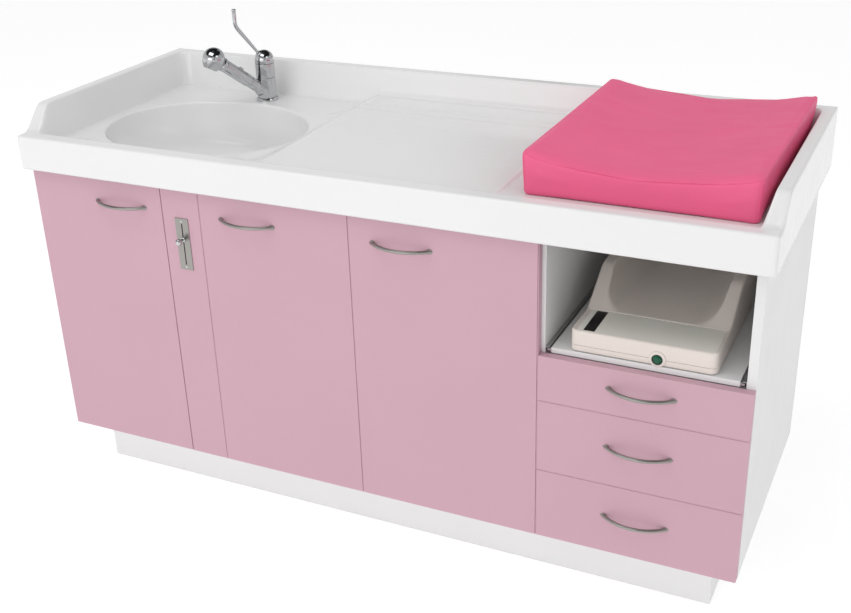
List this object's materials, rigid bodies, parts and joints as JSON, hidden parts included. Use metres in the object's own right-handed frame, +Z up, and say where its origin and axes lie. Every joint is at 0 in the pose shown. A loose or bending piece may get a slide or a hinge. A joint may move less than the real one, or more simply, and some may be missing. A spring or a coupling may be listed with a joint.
{
  "type": "changing table",
  "caption": "Baby changing unit: moulded worktop with an oval bath basin and mixer tap, trough-shaped mat, hinged doors, drawers, and a pull-out tray holding a baby scale.",
  "frame": {"origin": "on the floor, under the middle of the whole unit", "axes": "+X along the front from the basin to the mat, +Y from the fronts towards the wall, +Z up"},
  "size_m": [1.75, 0.674, 1.1127],
  "materials": {
    "moulded_worktop": "gloss gelcoat",
    "white_board": "satin white laminate",
    "pink_laminate": "satin pink laminate",
    "brushed_steel": "satin brushed",
    "chrome": "polished",
    "zinc": "zinc plated",
    "white_plastic": "moulded",
    "copper": "drawn copper tube",
    "cream_plastic": "fine moulded texture",
    "grey_film": "satin film",
    "display_window": "smoked window",
    "green_button": "gloss",
    "rubber": "matt",
    "pink_vinyl": "smooth welded vinyl over foam"
  },
  "bodies": {
    "cabinet": {"worktop": "moulded_worktop", "side_panel_left": "white_board", "side_panel_right": "white_board", "divider_left": "white_board", "divider_right": "white_board", "bottom_panel": "white_board", "back_panel": "white_board", "niche_shelf": "white_board", "top_rails": "white_board", "plinth_front": "white_board", "plinth_frame": "white_board", "slot_panel": "pink_laminate", "slot_plate": "brushed_steel", "slot_plate_screws": "chrome", "cupboard_shelf": "white_board", "shelf_pins": "brushed_steel", "hinge_plates": "zinc", "cabinet_runners": "zinc", "basin_waste": "chrome", "waste_trap": "white_plastic", "water_valves": "chrome", "water_tails": "copper", "mixer_body": "chrome"},
    "left_door": {"door_left": "pink_laminate", "door_left_handle": "brushed_steel", "door_left_hinges": "zinc"},
    "middle_door": {"door_middle": "pink_laminate", "door_middle_handle": "brushed_steel", "door_middle_hinges": "zinc"},
    "right_door": {"door_right": "pink_laminate", "door_right_handle": "brushed_steel", "door_right_hinges": "zinc"},
    "top_drawer": {"drawer_top_front": "pink_laminate", "drawer_top_handle": "brushed_steel", "drawer_top_box": "white_plastic", "drawer_top_runners": "zinc"},
    "middle_drawer": {"drawer_middle_front": "pink_laminate", "drawer_middle_handle": "brushed_steel", "drawer_middle_box": "white_plastic", "drawer_middle_runners": "zinc"},
    "bottom_drawer": {"drawer_bottom_front": "pink_laminate", "drawer_bottom_handle": "brushed_steel", "drawer_bottom_box": "white_plastic", "drawer_bottom_runners": "zinc"},
    "tray": {"scale_tray": "white_board", "tray_runners": "zinc", "scale_base": "cream_plastic", "scale_cradle": "cream_plastic", "scale_console": "grey_film", "scale_display": "display_window", "scale_feet": "rubber"},
    "start_button": {"scale_button": "green_button"},
    "drain_control": {"drain_knob": "chrome"},
    "plug": {"drain_plug": "chrome"},
    "spout": {"mixer_spout": "chrome"},
    "hand_spray": {"spray_handle": "chrome", "spray_face": "white_plastic"},
    "temperature_cap": {"mixer_cap": "chrome"},
    "lever": {"mixer_lever": "chrome"},
    "mat": {"changing_mat": "pink_vinyl"}
  },
  "joints": [
    {"name": "left_door_swing", "type": "hinge", "parent": "cabinet", "child": "left_door", "pos_m": [-0.855, -0.307, 0.469], "axis": [0, 0, -1], "range_deg": [0, 105]},
    {"name": "middle_door_swing", "type": "hinge", "parent": "cabinet", "child": "middle_door", "pos_m": [-0.0115, -0.307, 0.469], "axis": [0, 0, 1], "range_deg": [0, 105]},
    {"name": "right_door_swing", "type": "hinge", "parent": "cabinet", "child": "right_door", "pos_m": [0.4155, -0.307, 0.469], "axis": [0, 0, 1], "range_deg": [0, 90]},
    {"name": "top_drawer_slide", "type": "slide", "parent": "cabinet", "child": "top_drawer", "axis": [0, -1, 0], "range_m": [0, 0.4]},
    {"name": "middle_drawer_slide", "type": "slide", "parent": "cabinet", "child": "middle_drawer", "axis": [0, -1, 0], "range_m": [0, 0.4]},
    {"name": "bottom_drawer_slide", "type": "slide", "parent": "cabinet", "child": "bottom_drawer", "axis": [0, -1, 0], "range_m": [0, 0.4]},
    {"name": "scale_tray_slide", "type": "slide", "parent": "cabinet", "child": "tray", "axis": [0, -1, 0], "range_m": [0, 0.36]},
    {"name": "start_button_press", "type": "slide", "parent": "tray", "child": "start_button", "axis": [0, 1, 0], "range_m": [0, 0.002], "stiffness_N_per_m": 400},
    {"name": "drain_knob_slide", "type": "slide", "parent": "cabinet", "child": "drain_control", "axis": [0, 0, 1], "range_m": [-0.055, 0.03]},
    {"name": "plug_lift", "type": "slide", "parent": "cabinet", "child": "plug", "axis": [0, 0, 1], "range_m": [-0.0035, 0.0065]},
    {"name": "spout_swivel", "type": "hinge", "parent": "cabinet", "child": "spout", "pos_m": [-0.534, 0.235, 0.9], "axis": [0, 0, 1], "range_deg": [-75, 100]},
    {"name": "hand_spray_pull", "type": "slide", "parent": "spout", "child": "hand_spray", "axis": [-0.333, -0.7142, 0.6157], "range_m": [0, 0.12]},
    {"name": "temperature_turn", "type": "hinge", "parent": "cabinet", "child": "temperature_cap", "pos_m": [-0.534, 0.235, 0.98], "axis": [0, 0, 1], "range_deg": [-45, 45]},
    {"name": "lever_lift", "type": "hinge", "parent": "temperature_cap", "child": "lever", "pos_m": [-0.534, 0.235, 0.974], "axis": [-0.9063, 0.4226, 0], "range_deg": [0, 25]},
    {"name": "mat_lift_off", "type": "slide", "parent": "cabinet", "child": "mat", "axis": [0, 0, 1], "range_m": [0, 0.3]}
  ],
  "couplings": [
    {"joint": "plug_lift", "follows": "drain_knob_slide", "ratio": -0.11}
  ]
}
